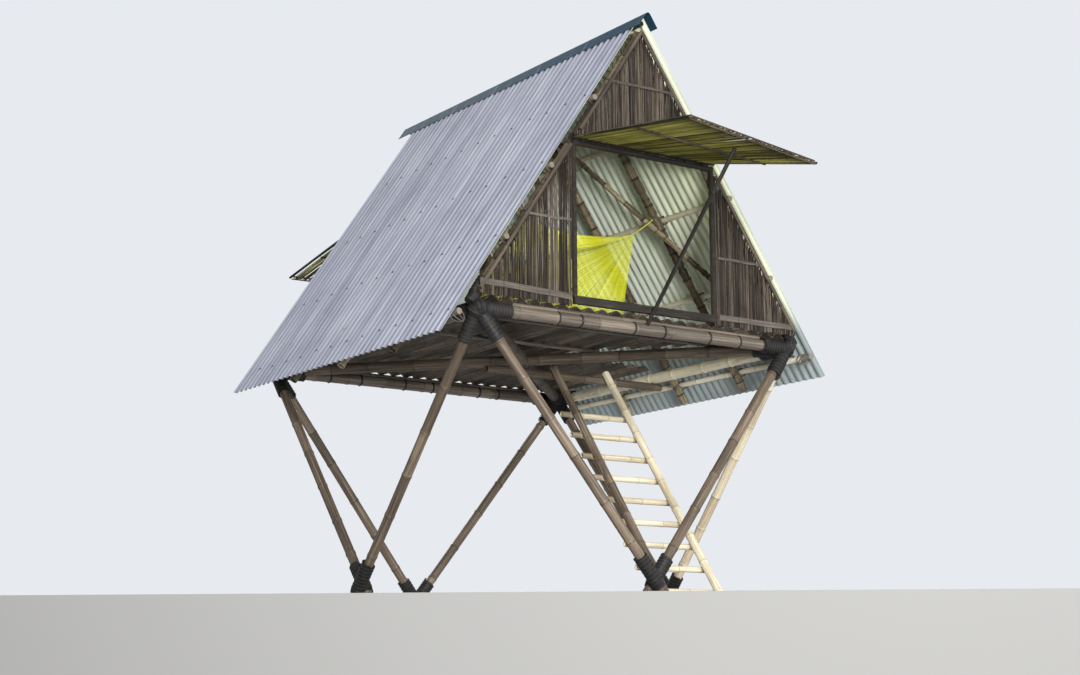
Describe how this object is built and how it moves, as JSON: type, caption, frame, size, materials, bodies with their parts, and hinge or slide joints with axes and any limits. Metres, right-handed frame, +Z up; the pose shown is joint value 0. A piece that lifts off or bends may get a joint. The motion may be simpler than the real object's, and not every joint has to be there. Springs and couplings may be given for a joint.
{
  "type": "stilt house",
  "caption": "Small stilt house: A-frame hut under a corrugated metal roof on raking bamboo legs, with split bamboo floor, reed gables, propped flaps and ladder.",
  "frame": {"origin": "on the ground under the middle of the house's plan", "axes": "+Z up, +Y from the gable in view to the back gable along the ridge, +X along that gable towards the ladder"},
  "size_m": [3.3542, 5.54, 4.11],
  "materials": {
    "bamboo": "weathered tan bamboo",
    "dry_bamboo": "dull dry bamboo under the floor",
    "rubber": "matt black rubber strip",
    "slats": "split bamboo",
    "galvanised": "dull galvanised sheet",
    "painted_metal": "dark teal paint",
    "reed": "dry reeds",
    "flap_reed": "dry yellowish reeds",
    "dark_wood": "dark weathered wood",
    "net": "bright yellow-green netting"
  },
  "bodies": {
    "root": {"corner_joint_back_left": "rubber", "corner_joint_back_right": "rubber", "corner_joint_front_left": "rubber", "corner_joint_front_right": "rubber", "deck": "slats", "flap_back": "flap_reed", "flap_front": "flap_reed", "flap_prop_back": "dark_wood", "flap_prop_front": "dark_wood", "floor_beam_back": "dry_bamboo", "floor_beam_front": "dry_bamboo", "floor_beam_left": "dry_bamboo", "floor_beam_right": "dry_bamboo", "floor_diagonal": "dry_bamboo", "floor_half_diagonal_back": "dry_bamboo", "floor_half_diagonal_front": "dry_bamboo", "foot_wrap_back": "rubber", "foot_wrap_front": "rubber", "foot_wrap_left": "rubber", "foot_wrap_right": "rubber", "gable_panel_back_left": "reed", "gable_panel_back_right": "reed", "gable_panel_back_top": "reed", "gable_panel_front_left": "reed", "gable_panel_front_right": "reed", "gable_panel_front_top": "reed", "hatch_beam": "bamboo", "ladder": "bamboo", "leg_back_left_to_back_foot": "bamboo", "leg_back_left_to_left_foot": "bamboo", "leg_back_right_to_back_foot": "bamboo", "leg_back_right_to_right_foot": "bamboo", "leg_front_left_to_front_foot": "bamboo", "leg_front_left_to_left_foot": "bamboo", "leg_front_right_to_front_foot": "bamboo", "leg_front_right_to_right_foot": "bamboo", "mosquito_net": "net", "opening_frame_back": "dark_wood", "opening_frame_front": "dark_wood", "purlin_left_1": "bamboo", "purlin_left_2": "bamboo", "purlin_left_3": "bamboo", "purlin_left_4": "bamboo", "purlin_right_1": "bamboo", "purlin_right_2": "bamboo", "purlin_right_3": "bamboo", "purlin_right_4": "bamboo", "rafter_pair_1": "bamboo", "rafter_pair_2": "bamboo", "rafter_pair_3": "bamboo", "rafter_pair_4": "bamboo", "rafter_pair_5": "bamboo", "ridge_cap": "painted_metal", "ridge_pole": "bamboo", "roof_brace_left_back": "bamboo", "roof_brace_left_front": "bamboo", "roof_brace_right_back": "bamboo", "roof_brace_right_front": "bamboo", "roof_sheets_left": "galvanised", "roof_sheets_right": "galvanised"}
  },
  "joints": []
}
